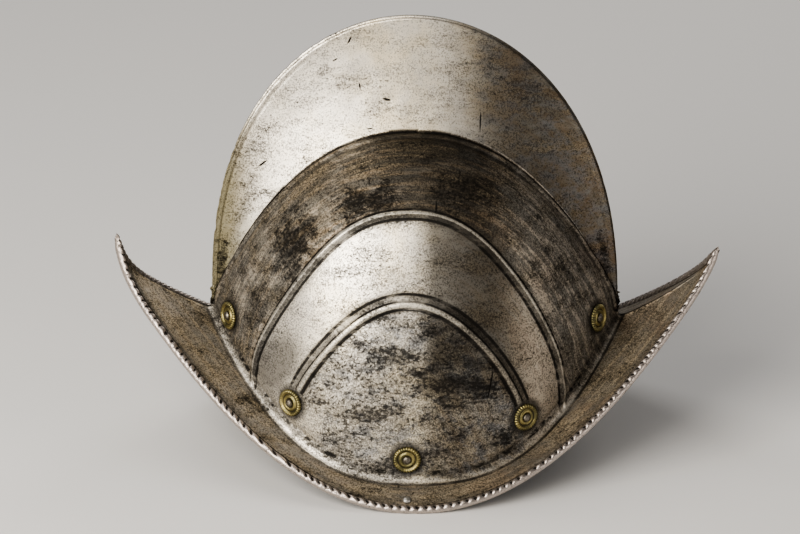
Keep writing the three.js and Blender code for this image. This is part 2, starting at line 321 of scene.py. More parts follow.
@dataclass(frozen=True)
class Line:
    """A line on the plate that marks follow, as a tree of closely set points along it."""

    tree: KDTree

    @staticmethod
    def through(points: list[Vector]) -> "Line":
        """Line through closely set points.

        Args:
            points: The points, in mm.

        Returns:
            The line.
        """
        tree = KDTree(len(points))
        for index, point in enumerate(points):
            tree.insert(point, index)
        tree.balance()
        return Line(tree)

    def distance(self, point: Vector) -> float:
        """Distance of a point from the line, in mm."""
        return self.tree.find(point)[2]


@dataclass(frozen=True)
class Dent:
    """A dent in the skull or comb: centre in side view, radius and depth in mm."""

    x: float
    z: float
    radius: float
    depth: float


DENTS = (
    Dent(-56.8, 157.0, 5.0, 1.1),
    Dent(-20.0, 172.0, 16.0, 0.7),
    Dent(48.0, 138.0, 18.0, 0.6),
    Dent(-52.0, 66.0, 14.0, 0.5),
    Dent(22.0, 60.0, 20.0, 0.7),
    Dent(-66.0, 205.0, 18.0, 0.6),
    Dent(60.0, 210.0, 20.0, 0.5),
    Dent(88.0, 98.0, 12.0, 0.5),
)


@dataclass(frozen=True)
class Crease:
    """A raised or sunk strip beside one of the plate's lines: its middle, half width and rise in mm."""

    zone: Zone
    line: str
    middle: float
    half: float
    rise: float


CREASES = (
    Crease(Zone.SKULL, "root", 5.2, 0.9, -0.4),
    Crease(Zone.SKULL, "neck", 6.4, 1.0, -0.5),
    Crease(Zone.BRIM, "brim_edge", 10.5, 1.6, -0.2),
    Crease(Zone.BRIM, "brim_edge", 5.6, 0.9, -0.5),
)


@dataclass(frozen=True)
class Seat:
    """Place of a rosette: X and the height over the foot of the skull, in mm."""

    x: float
    height: float


@dataclass(frozen=True)
class Stations:
    """Stations of the rosettes along the skull as shares, and their heights over its foot in mm."""

    front: float = -0.91
    front_height: float = 18.5
    middle: float = -0.04
    middle_height: float = 13.5
    back: float = 0.895
    back_height: float = 24.5
    rib_foot: float = 0.965
    foot_height: float = 19.5

    def seats(self, form: Form) -> list[Seat]:
        """Places of the five rosettes of a side.

        Args:
            form: The plate's form.

        Returns:
            The places, from front to back.
        """
        rib = form.inner_rib
        length = form.skull_length
        return [
            Seat(self.front * length, self.front_height),
            Seat(rib.centre - rib.reach * self.rib_foot, self.foot_height),
            Seat(self.middle * length, self.middle_height),
            Seat(rib.centre + rib.reach * self.rib_foot, self.foot_height),
            Seat(self.back * length, self.back_height),
        ]


STATIONS = Stations()


def finished(
    name: str, shape: bmesh.types.BMesh, node: str, material: bpy.types.Material,
) -> bpy.types.Object:
    """Object of a finished shape, which stands for its node and rides on the helmet.

    Args:
        name: Name of the piece.
        shape: The mesh, in metres and in place. It is freed.
        node: The solid it stands for.
        material: Its finish.

    Returns:
        The object, linked to the scene.
    """
    mesh = bpy.data.meshes.new(name)
    shape.to_mesh(mesh)
    shape.free()
    mesh.shade_smooth()
    piece = bpy.data.objects.new(name, mesh)
    bpy.context.scene.collection.objects.link(piece)
    mesh.materials.append(material)
    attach(piece, "root")
    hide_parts(node)
    log.info("%s: %d faces", name, len(mesh.polygons))
    return piece


@dataclass
class PlateHalf:
    """One steel half: its side of the skull, the comb and the brim, with its roped edge."""

    side: Side
    form: Form = FORM
    columns: int = 196
    comb_rows: int = 44
    skull_rows: int = 132
    neck_rows: int = 6
    brim_rows: int = 22
    comb_spread: float = 0.85
    skull_spread: float = 1.12
    arch_height: float = 60.0
    arch_radius: float = 130.0
    rope_steps: int = 900
    rope_sides: int = 16
    rope_pitch: float = 4.9
    rope_depth: float = 0.6
    rope_lead: float = 0.9
    rope_wander: float = 1.2
    rope_thinned: float = 4.5
    rope_face: float = 1.6
    rope_face_width: float = 0.85
    rope_tip: float = 9.0
    rope_tip_share: float = 0.62
    hem: float = 2.2
    hem_rise: float = 0.3
    ragged: float = 0.5
    uneven: float = 0.4
    crown_power: float = 0.6
    samples: int = 1500
    far_edge_rise: float = 0.9
    layers: tuple[str, ...] = (
        "outer_rib", "inner_rib", "root", "neck", "comb_edge", "brim_edge", "rosette", "zone", "along",
    )

    @property
    def proud(self) -> float:
        """How far this half's comb edge stands out: the far plate's edge shows behind the near one."""
        return -self.far_edge_rise if self.side is Side.LEFT else 0.0

    def section(self, station: float, row: int) -> tuple[Vector, float]:
        """Point of the outer side, before the ribs are raised.

        Args:
            station: Place along the helmet, from -1 at the front to 1 at the back.
            row: Row down the section, from the comb's edge to the edge of the brim.

        Returns:
            The point, and the value of the zone it lies in, which rises by NECK_SPAN over the neck.
        """
        form = self.form
        x = form.skull_length * math.sin(QUARTER * station)
        base = form.base(x)
        neck_up = form.neck / (form.root_height(x) - base.z + form.neck)
        run = (form.rim(station, 1.0) - base).length
        neck_out = form.neck / (run + form.neck)
        if row < self.comb_rows:
            share = 1 - row / self.comb_rows
            proud = self.proud * smooth(0.0, 0.15, share)
            return form.comb(x, share ** self.comb_spread, proud), Zone.COMB.value
        row -= self.comb_rows
        if row < self.skull_rows:
            share = math.cos(QUARTER * row / self.skull_rows) ** self.skull_spread
            return form.skull(x, lerp(neck_up, 1.0, share)), Zone.SKULL.value
        row -= self.skull_rows
        if row < self.neck_rows:
            share = row / self.neck_rows
            high, corner, low = form.skull(x, neck_up), form.skull(x, 0.0), form.rim(station, neck_out)
            bend = high.lerp(corner, share).lerp(corner.lerp(low, share), share)
            return bend, Zone.NECK.value + NECK_SPAN * share
        row -= self.neck_rows
        roll_middle = 1 - form.roll / run
        return form.rim(station, lerp(neck_out, roll_middle, row / self.brim_rows)), Zone.BRIM.value

    def lines(self) -> dict[str, Line]:
        """Lines on the plate that its ribs, grooves and stains follow.

        Returns:
            The lines by name.
        """
        form = self.form
        turns = [2 * index / self.samples - 1 for index in range(self.samples + 1)]
        places = [form.skull_length * math.sin(QUARTER * turn) for turn in turns]
        points = {
            "outer_rib": [form.rib_point(form.outer_rib, turn) for turn in turns],
            "inner_rib": [form.rib_point(form.inner_rib, turn) for turn in turns],
            "root": [form.skull(x, 1.0) for x in places],
            "neck": [form.base(x) for x in places],
            "comb_edge": [form.comb(x, 1.0, self.proud) for x in places],
            "brim_edge": [form.rim(turn, 1.0) for turn in turns],
            "rosette": [form.seat(seat.x, seat.height)[0] for seat in STATIONS.seats(form)],
        }
        return {name: Line.through(spots) for name, spots in points.items()}

    def rib_sign(self, rib: Rib, point: Vector) -> float:
        """Side of a rib's arch that a point lies on.

        Args:
            rib: The rib.
            point: The point, in mm.

        Returns:
            1 outside the arch and -1 inside it.
        """
        x = point.x - self.form.lean_at(point.z)
        share = (point.z - self.form.base(x).z) / max(1.0, self.form.root_height(x) - self.form.base(x).z)
        side = abs(x - rib.centre) / rib.reach
        return 1.0 if side >= 1 or share > self.form.rib_share(rib, x) else -1.0

    def relief(self, away: dict[str, float], point: Vector, zone: float) -> float:
        """Height of the relief over the plain surface.

        Args:
            away: Signed distances from the plate's lines, in mm.
            point: The point on the plain surface, in mm.
            zone: The zone it lies in.

        Returns:
            The height in mm, negative where it is sunk.
        """
        form = self.form
        height = 0.0
        for dent in DENTS:
            height -= dent.depth * bell(math.hypot(point.x - dent.x, point.z - dent.z), 0.0, dent.radius)
        if zone == Zone.SKULL.value:
            outer = away["outer_rib"]
            crown = max(0.0, 1 - (2 * outer / form.outer_rib.width) ** 2)
            height += form.outer_rib.height * crown ** self.crown_power - 0.6 * bell(abs(outer), 3.0, 0.8)
            fade = smooth(8.0, 11.0, away["rosette"]) * smooth(14.0, 18.0, away["neck"])
            height += self.inner_relief(away["inner_rib"]) * fade
            height += 1.1 * bell(away["root"], 2.6, 1.4) * smooth(0.0, 14.0, away["neck"])
        if zone == Zone.COMB.value:
            lift = self.hem_rise * (1 - smooth(self.hem - 0.5, self.hem + 0.5, away["comb_edge"]))
            lift -= 0.3 * bell(away["comb_edge"], self.hem + 0.8, 0.7)
            height += lift * smooth(35.0, 75.0, abs(point.x))
        for crease in CREASES:
            if zone == crease.zone.value:
                height += crease.rise * bell(away[crease.line], crease.middle, crease.half)
        wobble = noise.noise(point * 0.03) + 0.5 * noise.noise(point * 0.09) + 0.14 * noise.noise(point * 0.3)
        return height + self.uneven * wobble * smooth(0.0, 8.0, abs(away["comb_edge"]))

    def inner_relief(self, away: float) -> float:
        """Relief of the inner rib: a ridge on its inner side and a shallow hollow outside it.

        Args:
            away: Signed distance from the rib's middle line, in mm.

        Returns:
            The height, in mm.
        """
        rib = self.form.inner_rib
        crown = max(0.0, 1 - ((away + 0.2 * rib.width) / (0.26 * rib.width)) ** 2)
        hollow = 0.55 * bell(away, 0.27 * rib.width, 0.2 * rib.width)
        lines = 0.6 * bell(abs(away), 0.54 * rib.width, 0.8)
        return rib.height * crown ** self.crown_power - hollow - lines

    def outer_side(self) -> bmesh.types.BMesh:
        """Grid bent to the outer side of the plate, with its relief and the layers that the finish reads.

        Returns:
            The sheet, in mm, on the left half.
        """
        rows = self.comb_rows + self.skull_rows + self.neck_rows + self.brim_rows
        shape = bmesh.new()
        bmesh.ops.create_grid(shape, x_segments=self.columns, y_segments=rows, size=1.0)
        layers = {name: shape.verts.layers.float.new(name) for name in self.layers}
        notch = shape.verts.layers.float.new("notch")
        lines = self.lines()
        zones: dict[bmesh.types.BMVert, float] = {}
        for vert in shape.verts:
            row = round((1 - vert.co.y) / 2 * rows)
            vert.co, zones[vert] = self.section(vert.co.x, row)
        shape.normal_update()
        if sum(face.normal.y * face.calc_area() for face in shape.faces) > 0:
            bmesh.ops.reverse_faces(shape, faces=shape.faces)
            shape.normal_update()
        moves: list[tuple[bmesh.types.BMVert, Vector]] = []
        for vert, zone in zones.items():
            away = {name: line.distance(vert.co) for name, line in lines.items()}
            away["outer_rib"] *= self.rib_sign(self.form.outer_rib, vert.co)
            away["inner_rib"] *= self.rib_sign(self.form.inner_rib, vert.co)
            away["root"] *= -1.0 if zone == Zone.COMB.value else 1.0
            away["neck"] *= -1.0 if zone > NECK_CORNER else 1.0
            moved = vert.co + vert.normal * self.relief(away, vert.co, zone)
            if zone == Zone.COMB.value and away["comb_edge"] < 1.0:
                moved += self.worn_edge(vert.co)
            on_seam = abs(vert.co.y) <= self.form.edge_half + 0.01 and zone == Zone.BRIM.value
            moved.y = vert.co.y if on_seam else min(moved.y, -self.form.edge_half * 0.6)
            for name, distance in away.items():
                vert[layers[name]] = distance
            vert[layers["zone"]] = zone
            vert[notch] = 0.0
            fore, rise = vert.co.x - self.form.outer_rib.centre, abs(vert.co.z - self.arch_height)
            vert[layers["along"]] = math.atan2(fore, self.arch_height + rise) * self.arch_radius
            moves.append((vert, moved))
        for vert, moved in moves:
            vert.co = moved
        return shape

    def worn_edge(self, point: Vector) -> Vector:
        """Small bites out of the comb's edge, deepest high on its front.

        Args:
            point: Point of the edge, in mm.

        Returns:
            How far it moves in.
        """
        bite = max(0.0, noise.noise(Vector((point.x * 0.35, 0.0, point.z * 0.35)) + Vector((3.1, 0.0, 7.7))))
        depth = self.ragged * lerp(0.35, 2.0, smooth(30.0, -75.0, point.x) if point.x < 30 else 0.0) * bite
        inward = Vector((-point.x, 0.0, self.form.end_height - point.z)).normalized()
        return inward * depth

    def rope(self) -> bmesh.types.BMesh:
        """Roped edge: a tube along the brim's edge with slanting notches, closed at both tips.

        Returns:
            The tube, in mm, on the left half.
        """
        form = self.form
        shape = bmesh.new()
        bmesh.ops.create_grid(shape, x_segments=self.rope_steps, y_segments=self.rope_sides, size=1.0)
        layers = {name: shape.verts.layers.float.new(name) for name in self.layers}
        groove = shape.verts.layers.float.new("notch")
        travel = self.edge_travel()
        for vert in shape.verts:
            length = (vert.co.x + 1) / 2 * travel[-1][0]
            station = self.station_at(travel, length)
            angle = math.pi * vert.co.y
            edge, out, up = self.edge_frame(station)
            share = length / travel[-1][0]
            drift = self.rope_wander * noise.noise(Vector((length * 0.03, 0.0, 5.0)))
            drift -= self.rope_thinned * smooth(0.22, 0.42, share)
            phase = length / self.rope_pitch + drift + self.rope_lead * angle / (2 * math.pi)
            cut = 1 - abs(math.sin(math.pi * phase)) ** 0.75
            worn = 0.85 + 0.5 * noise.noise(Vector((length * 0.11, 2.0, 9.0)))
            cut *= worn * bell(angle, self.rope_face, self.rope_face_width)
            thin = smooth(0.0, self.rope_tip, min(length, travel[-1][0] - length))
            radius = form.roll * lerp(self.rope_tip_share, 1.0, thin) * (1 - self.rope_depth * cut)
            centre = edge - out * form.roll
            vert.co = centre + (out * math.cos(angle) + up * math.sin(angle)) * radius
            vert.co.y = min(vert.co.y, -form.half_gap)
            vert.co.z = max(vert.co.z, 0.0)
            for name in self.layers:
                vert[layers[name]] = FAR_AWAY
            vert[layers["zone"]] = Zone.ROPE.value
            vert[groove] = cut
        bmesh.ops.remove_doubles(shape, verts=shape.verts, dist=0.01)
        ends = [edge for edge in shape.edges if edge.is_boundary]
        bmesh.ops.holes_fill(shape, edges=ends, sides=0)
        bmesh.ops.recalc_face_normals(shape, faces=shape.faces)
        return shape

    def edge_travel(self) -> list[tuple[float, float]]:
        """Lengths along the brim's edge and the stations they fall at.

        Returns:
            Pairs of length and station, from the front tip on.
        """
        travel = [(0.0, -1.0)]
        before = self.form.rim(-1.0, 1.0)
        for index in range(1, self.samples + 1):
            station = 2 * index / self.samples - 1
            point = self.form.rim(station, 1.0)
            travel.append((travel[-1][0] + (point - before).length, station))
            before = point
        return travel

    @staticmethod
    def station_at(travel: list[tuple[float, float]], length: float) -> float:
        """Station that a length along the edge falls at.

        Args:
            travel: Pairs of length and station.
            length: The length, in mm.

        Returns:
            The station.
        """
        low, high = 0, len(travel) - 1
        while high - low > 1:
            middle = (low + high) // 2
            low, high = (middle, high) if travel[middle][0] <= length else (low, middle)
        span = travel[high][0] - travel[low][0]
        return lerp(travel[low][1], travel[high][1], (length - travel[low][0]) / span if span else 0.0)

    def edge_frame(self, station: float) -> tuple[Vector, Vector, Vector]:
        """Point of the brim's edge with its directions.

        Args:
            station: Place along the helmet, from -1 at the front to 1 at the back.

        Returns:
            The point, and the outward and upward directions there.
        """
        form = self.form
        edge = form.rim(station, 1.0)
        out = (edge - form.rim(station, 0.9)).normalized()
        step = 0.002
        fore = form.rim(min(1.0, station + step), 1.0) - form.rim(max(-1.0, station - step), 1.0)
        up = fore.cross(-out).normalized()
        if up.z < 0:
            up = -up
        return edge, out, up

    def walled(self, shape: bmesh.types.BMesh) -> bmesh.types.BMesh:
        """The outer side given the plate's wall, with nothing past the seam.

        Args:
            shape: The outer side, in mm. It is freed.

        Returns:
            The walled plate, with its inner face marked.
        """
        mesh = bpy.data.meshes.new("plate_wall")
        outer_count = len(shape.verts)
        shape.to_mesh(mesh)
        shape.free()
        holder = bpy.data.objects.new("plate_wall", mesh)
        bpy.context.scene.collection.objects.link(holder)
        wall = holder.modifiers.new("wall", "SOLIDIFY")
        wall.thickness = self.form.wall
        wall.offset = -1.0
        wall.use_even_offset = False
        solid = bmesh.new()
        solid.from_object(holder, bpy.context.evaluated_depsgraph_get())
        bpy.data.objects.remove(holder)
        bpy.data.meshes.remove(mesh)
        solid.verts.ensure_lookup_table()
        inside = solid.verts.layers.float.new("inside")
        near_edge = solid.verts.layers.float["comb_edge"]
        for index, vert in enumerate(solid.verts):
            vert.co.y = min(vert.co.y, -self.form.half_gap)
            vert[inside] = 1.0 if index >= outer_count and vert[near_edge] > 2.0 else 0.0
        return solid

    def build(self, material: bpy.types.Material) -> bpy.types.Object:
        """The finished half.

        Args:
            material: Its finish.

        Returns:
            The object.
        """
        solid = self.walled(self.outer_side())
        rope_mesh = bpy.data.meshes.new("rope")
        rope = self.rope()
        rope.to_mesh(rope_mesh)
        rope.free()
        solid.from_mesh(rope_mesh)
        bpy.data.meshes.remove(rope_mesh)
        bmesh.ops.scale(solid, vec=(MM, -MM * self.side.value, MM), verts=solid.verts)
        if self.side is Side.RIGHT:
            bmesh.ops.reverse_faces(solid, faces=solid.faces)
        name = f"plate_{self.side.label}"
        return finished(name, solid, f"skull_{self.side.label}", material)


def turned_to(normal: Vector, point: Vector) -> Matrix:
    """Placement that brings +Z onto a normal at a point in mm, in metres."""
    turn = Vector((0, 0, 1)).rotation_difference(normal).to_matrix().to_4x4()
    return Matrix.Translation(point * MM) @ turn @ Matrix.Scale(MM, 4)


def turned_shape(profile: list[tuple[float, float]], steps: int) -> bmesh.types.BMesh:
    """Body of revolution round +Z.

    Args:
        profile: Pairs of radius and height, closed by the outline itself or by the axis.
        steps: Parts of the turn.

    Returns:
        The body.
    """
    shape = bmesh.new()
    verts = [shape.verts.new((radius, 0.0, height)) for radius, height in profile]
    edges = [shape.edges.new(pair) for pair in zip(verts, verts[1:])]
    bmesh.ops.spin(
        shape, geom=verts + edges, cent=(0, 0, 0), axis=(0, 0, 1), angle=4 * QUARTER, steps=steps,
        use_merge=True,
    )
    bmesh.ops.remove_doubles(shape, verts=shape.verts, dist=0.001)
    bmesh.ops.recalc_face_normals(shape, faces=shape.faces)
    return shape


@dataclass
class Rosette:
    """Brass washer with a scalloped rim, a groove and an inner ring."""

    side: Side
    number: int
    radius: float = 8.2
    bore: float = 1.6
    thickness: float = 1.1
    seat_gap: float = 0.3
    lobes: int = 30
    lobe_depth: float = 0.4
    steps: int = 150

    def profile(self) -> list[tuple[float, float]]:
        """Half section, from the bore up over the rings to the rim and back under it.

        Returns:
            Pairs of radius and height.
        """
        share = self.radius
        base = self.thickness
        return [
            (self.bore, 0.0),
            (self.bore, base * 0.9),
            (share * 0.3, base * 1.0),
            (share * 0.36, base * 1.25),
            (share * 0.44, base * 1.55),
            (share * 0.52, base * 1.5),
            (share * 0.57, base * 0.8),
            (share * 0.63, base * 0.6),
            (share * 0.69, base * 0.9),
            (share * 0.78, base * 1.7),
            (share * 0.86, base * 1.75),
            (share * 0.94, base * 1.3),
            (share, base * 0.6),
            (share * 0.98, 0.0),
            (self.bore, 0.0),
        ]

    def build(self, material: bpy.types.Material) -> bpy.types.Object:
        """The finished rosette.

        Args:
            material: Its finish.

        Returns:
            The object.
        """
        shape = turned_shape(self.profile(), self.steps)
        tone = shape.verts.layers.float.new("notch")
        for vert in shape.verts:
            radius = math.hypot(vert.co.x, vert.co.y)
            angle = math.atan2(vert.co.y, vert.co.x)
            notch = 1 - abs(math.sin(self.lobes * angle / 2)) ** 0.6
            outer = smooth(0.66 * self.radius, 0.9 * self.radius, radius)
            pull = 1 - self.lobe_depth * notch * outer / self.radius
            sunk = 0.3 * notch * outer if vert.co.z > 0.5 * self.thickness else 0.0
            share = radius / self.radius
            groove = bell(share, 0.63, 0.06) + bell(share, 0.31, 0.06)
            # The layer marks the notches and grooves that the brass finish darkens with painted shade and
            # dirt.
            vert[tone] = max(notch * outer, groove)
            vert.co = Vector((vert.co.x * pull, vert.co.y * pull, vert.co.z - sunk))
        place = STATIONS.seats(FORM)[self.number - 1]
        point, normal = FORM.seat(place.x, place.height)
        seat = turned_to(normal, point + normal * self.seat_gap)
        bmesh.ops.transform(shape, matrix=seat, verts=shape.verts)
        node = f"rosette_{self.side.label}_{self.number}"
        return mirrored_piece(shape, self.side, node, material)


def mirrored_piece(
    shape: bmesh.types.BMesh, side: Side, node: str, material: bpy.types.Material,
) -> bpy.types.Object:
    """Piece made on the left half, put on its own side.

    Args:
        shape: The mesh on the left half, in metres.
        side: The side it belongs on.
        node: The solid it stands for.
        material: Its finish.

    Returns:
        The finished object.
    """
    if side is Side.RIGHT:
        bmesh.ops.scale(shape, vec=(1, -1, 1), verts=shape.verts)
        bmesh.ops.reverse_faces(shape, faces=shape.faces)
    return finished(f"{node}_worn", shape, node, material)


@dataclass
class Rivet:
    """Steel rivet with a low domed head and a burr inside the plate."""

    side: Side
    node: str
    point: Vector
    normal: Vector
    grip: float
    shank: float = 1.3
    head: float = 2.5
    head_rise: float = 1.7
    burr: float = 2.0
    burr_rise: float = 0.8
    burr_gap: float = 0.6
    steps: int = 28
    dome_rows: int = 6

    def build(self, material: bpy.types.Material) -> bpy.types.Object:
        """The finished rivet.

        Args:
            material: Its finish.

        Returns:
            The object.
        """
        under = -self.grip - self.burr_gap
        profile = [
            (0.0, under - self.burr_rise),
            (self.burr * 0.7, under - self.burr_rise * 0.8),
            (self.burr, under - self.burr_rise * 0.2),
            (self.burr, under),
            (self.shank, under),
            (self.shank, 0.0),
            (self.head, 0.0),
        ]
        for row in range(1, self.dome_rows + 1):
            angle = QUARTER * row / self.dome_rows
            profile.append((self.head * math.cos(angle), self.head_rise * math.sin(angle)))
        shape = turned_shape(profile, self.steps)
        for vert in shape.verts:
            if vert.co.z > 0:
                vert.co.z += 0.12 * noise.noise(vert.co * 0.9 + self.point * 0.1)
        bmesh.ops.transform(shape, matrix=turned_to(self.normal, self.point), verts=shape.verts)
        return mirrored_piece(shape, self.side, self.node, material)


@dataclass(frozen=True)
class Mark:
    """A nick, scratch or crack: centre in side view, turn in degrees, half length and half width in mm."""

    x: float
    z: float
    turn: float
    long: float
    wide: float


@dataclass(frozen=True)
class DarkPatch(Mark):
    """A soft dark patch, with its depth as a share of black."""

    depth: float


MARKS = (
    Mark(-37.7, 248.0, 65.0, 3.2, 0.7),
    Mark(-31.9, 221.0, 100.0, 2.4, 0.5),
    Mark(-16.2, 213.6, -12.0, 3.0, 0.8),
    Mark(-46.0, 236.0, 30.0, 1.8, 0.5),
    Mark(37.7, 200.0, 88.0, 7.0, 0.5),
    Mark(43.5, 68.0, 80.0, 11.0, 0.7),
    Mark(12.2, 166.0, 90.0, 4.0, 0.5),
    Mark(-88.0, 172.0, 40.0, 4.0, 0.6),
    Mark(-26.0, 197.0, 10.0, 2.0, 0.4),
)

DARK_PATCHES = (
    DarkPatch(-70.0, 137.0, 62.0, 34.0, 15.0, 0.85),
    DarkPatch(-28.0, 168.0, 12.0, 34.0, 9.0, 0.8),
    DarkPatch(30.0, 172.0, -14.0, 40.0, 12.0, 0.55),
    DarkPatch(84.0, 120.0, -62.0, 44.0, 15.0, 0.25),
    DarkPatch(-14.0, 86.0, 4.0, 26.0, 10.0, 0.6),
    DarkPatch(24.0, 68.0, -12.0, 34.0, 17.0, 0.5),
    DarkPatch(-24.0, 52.0, 6.0, 30.0, 8.0, 0.5),
    DarkPatch(30.0, 100.0, -40.0, 24.0, 14.0, 0.45),
    DarkPatch(52.0, 34.0, 24.0, 24.0, 7.0, 0.7),
    DarkPatch(-92.0, 96.0, 70.0, 26.0, 9.0, 0.5),
    # Painted shadows: narrow dark strips in the valleys at the front and back ends of the comb.
    DarkPatch(-112.0, 108.0, 82.0, 22.0, 4.0, 0.9),
    DarkPatch(110.0, 112.0, -80.0, 26.0, 4.0, 0.9),
    DarkPatch(-97.0, 150.0, 74.0, 34.0, 9.0, 0.45),
    DarkPatch(-88.0, 182.0, 60.0, 26.0, 11.0, 0.35),
    DarkPatch(60.0, 222.0, -40.0, 40.0, 16.0, 0.3),
)


class Value:
    """A value on a material's node board. Each sum on it adds one node."""

    def __init__(self, board: "Board", socket: bpy.types.NodeSocket) -> None:
        """Keeps the board and the socket that gives the value."""
        self.board = board
        self.socket = socket

    def __add__(self, other: "Value | float") -> "Value":
        """This value plus another."""
        return self.board.sum("ADD", self, other)

    def __sub__(self, other: "Value | float") -> "Value":
        """This value less another."""
        return self.board.sum("SUBTRACT", self, other)

    def __rsub__(self, other: float) -> "Value":
        """A number less this value."""
        return self.board.sum("SUBTRACT", other, self)

    def __mul__(self, other: "Value | float") -> "Value":
        """This value times another."""
        return self.board.sum("MULTIPLY", self, other)

    def __abs__(self) -> "Value":
        """This value without its sign."""
        return self.board.sum("ABSOLUTE", self, 0.0)

    def clamped(self) -> "Value":
        """This sum, kept between 0 and 1."""
        self.socket.node.use_clamp = True
        return self

    def ramp(self, low: float, high: float, start: float = 0.0, end: float = 1.0) -> "Value":
        """Value carried smoothly from start to end while this one goes from low to high.

        Args:
            low: Where it starts to change.
            high: Where it stops.
            start: The result up to low.
            end: The result from high on.

        Returns:
            The result.
        """
        node = self.board.nodes.new("ShaderNodeMapRange")
        node.interpolation_type = "SMOOTHSTEP"
        self.board.join(self.socket, node.inputs["Value"])
        for name, number in (("From Min", low), ("From Max", high), ("To Min", start), ("To Max", end)):
            node.inputs[name].default_value = number
        return Value(self.board, node.outputs["Result"])

    def groove(self, centre: float, half: float) -> "Value":
        """1 where this distance is centre, falling to 0 at half the width of the groove."""
        return abs(self - centre).ramp(0.4 * half, half, 1.0, 0.0)


def most(*values: "Value | float") -> "Value | float":
    """Largest of several values, the first one not a plain number, or 0 of none.

    Args:
        values: The values.

    Returns:
        Their largest.
    """
    result = values[0] if values else 0.0
    for value in values[1:]:
        result = result.board.sum("MAXIMUM", result, value)
    return result


class Board:
    """A material's node board, with short calls for the nodes that the finishes need."""

    def __init__(self, name: str) -> None:
        """Makes the material with one surface shader on its board.

        Args:
            name: Name of the material.
        """
        self.material = bpy.data.materials.new(name)
        self.material.use_nodes = True
        self.nodes = self.material.node_tree.nodes
        self.nodes.clear()
        self.shader = self.nodes.new("ShaderNodeBsdfPrincipled")
        self.join(self.shader.outputs[0], self.nodes.new("ShaderNodeOutputMaterial").inputs["Surface"])
        self.place = self.nodes.new("ShaderNodeTexCoord").outputs["Object"]

    def join(self, source: bpy.types.NodeSocket, target: bpy.types.NodeSocket) -> None:
        """Links two sockets."""
        self.material.node_tree.links.new(source, target)

    def feed(self, target: bpy.types.NodeSocket, value: "Value | float | Colour") -> None:
        """Links a value to a socket, or sets the socket to a plain number or colour.

        Args:
            target: The socket.
            value: What it takes.
        """
        if isinstance(value, Value):
            self.join(value.socket, target)
        else:
            target.default_value = value

    def paint(self, name: str, value: "Value | float | Colour") -> None:
        """Gives one of the surface shader's inputs its value."""
        self.feed(self.shader.inputs[name], value)

    def sum(self, kind: str, first: "Value | float", second: "Value | float") -> Value:
        """Result of one sum.

        Args:
            kind: Blender's name for the sum.
            first: The value it starts from.
            second: The value it takes.

        Returns:
            The result.
        """
        node = self.nodes.new("ShaderNodeMath")
        node.operation = kind
        self.feed(node.inputs[0], first)
        self.feed(node.inputs[1], second)
        return Value(self, node.outputs[0])

    def layer(self, name: str) -> Value:
        """Value of one of the piece's own layers."""
        node = self.nodes.new("ShaderNodeAttribute")
        node.attribute_name = name
        return Value(self, node.outputs["Fac"])

    def axis(self, name: str) -> Value:
        """One of the object's own coordinates, in metres."""
        node = self.nodes.new("ShaderNodeSeparateXYZ")
        self.join(self.place, node.inputs[0])
        return Value(self, node.outputs[name])

    def clouds(self, place: bpy.types.NodeSocket, scale: float, detail: float, rough: float) -> Value:
        """Cloudy pattern.

        Args:
            place: Where it is read.
            scale: Features per metre.
            detail: Octaves.
            rough: Strength of the fine octaves.

        Returns:
            The pattern's value.
        """
        node = self.nodes.new("ShaderNodeTexNoise")
        for name, number in (("Scale", scale), ("Detail", detail), ("Roughness", rough)):
            node.inputs[name].default_value = number
        self.join(place, node.inputs["Vector"])
        return Value(self, node.outputs["Fac"])

    def noise(
        self, scale: float, detail: float, rough: float = 0.6, stretch: Point = (1, 1, 1),
        shift: Point = (0, 0, 0),
    ) -> Value:
        """Cloudy pattern on the object's own coordinates.

        Args:
            scale: Features per metre.
            detail: Octaves.
            rough: Strength of the fine octaves.
            stretch: Scale along each axis.
            shift: Offset of the pattern in metres.

        Returns:
            The pattern's value.
        """
        mapping = self.nodes.new("ShaderNodeMapping")
        mapping.inputs["Location"].default_value = shift
        mapping.inputs["Scale"].default_value = stretch
        self.join(self.place, mapping.inputs["Vector"])
        return self.clouds(mapping.outputs[0], scale, detail, rough)

    def flow(self, across: Value, scale: float, stretch: float, rough: float) -> Value:
        """Streaks that run along the plate's arches.

        Args:
            across: Distance from the line that they follow, in mm.
            scale: Streaks per metre.
            stretch: Scale along them as a share of the scale across them.
            rough: Strength of the fine octaves.

        Returns:
            The pattern's value.
        """
        place = self.nodes.new("ShaderNodeCombineXYZ")
        self.feed(place.inputs[0], self.layer("along") * (MM * stretch))
        self.feed(place.inputs[1], across * MM)
        return self.clouds(place.outputs[0], scale, STREAK_OCTAVES, rough)

    def mix(self, factor: Value, first: "Value | Colour", second: "Value | Colour") -> Value:
        """Colour between two colours."""
        return self.between(("RGBA", 6, 2), factor, first, second)

    def level(self, factor: Value, first: "Value | float", second: "Value | float") -> Value:
        """Value between two values."""
        return self.between(("FLOAT", 2, 0), factor, first, second)

    def between(
        self, kind: tuple[str, int, int], factor: Value, first: "Value | Colour | float",
        second: "Value | Colour | float",
    ) -> Value:
        """Mix of two values or colours.

        Args:
            kind: Blender's name for what is mixed, its first input and its output.
            factor: Share of the second.
            first: What shows at factor 0.
            second: What shows at factor 1.

        Returns:
            The mix.
        """
        data, entry, result = kind
        node = self.nodes.new("ShaderNodeMix")
        node.data_type = data
        self.feed(node.inputs["Factor"], factor)
        self.feed(node.inputs[entry], first)
        self.feed(node.inputs[entry + 1], second)
        return Value(self, node.outputs[result])

    def bump(self, height: Value, depth: float) -> None:
        """Bump of the surface.

        Args:
            height: Its height field.
            depth: What a height of 1 stands for, in metres.
        """
        node = self.nodes.new("ShaderNodeBump")
        node.inputs["Strength"].default_value = 1.0
        node.inputs["Distance"].default_value = depth
        self.feed(node.inputs["Height"], height)
        self.join(node.outputs[0], self.shader.inputs["Normal"])

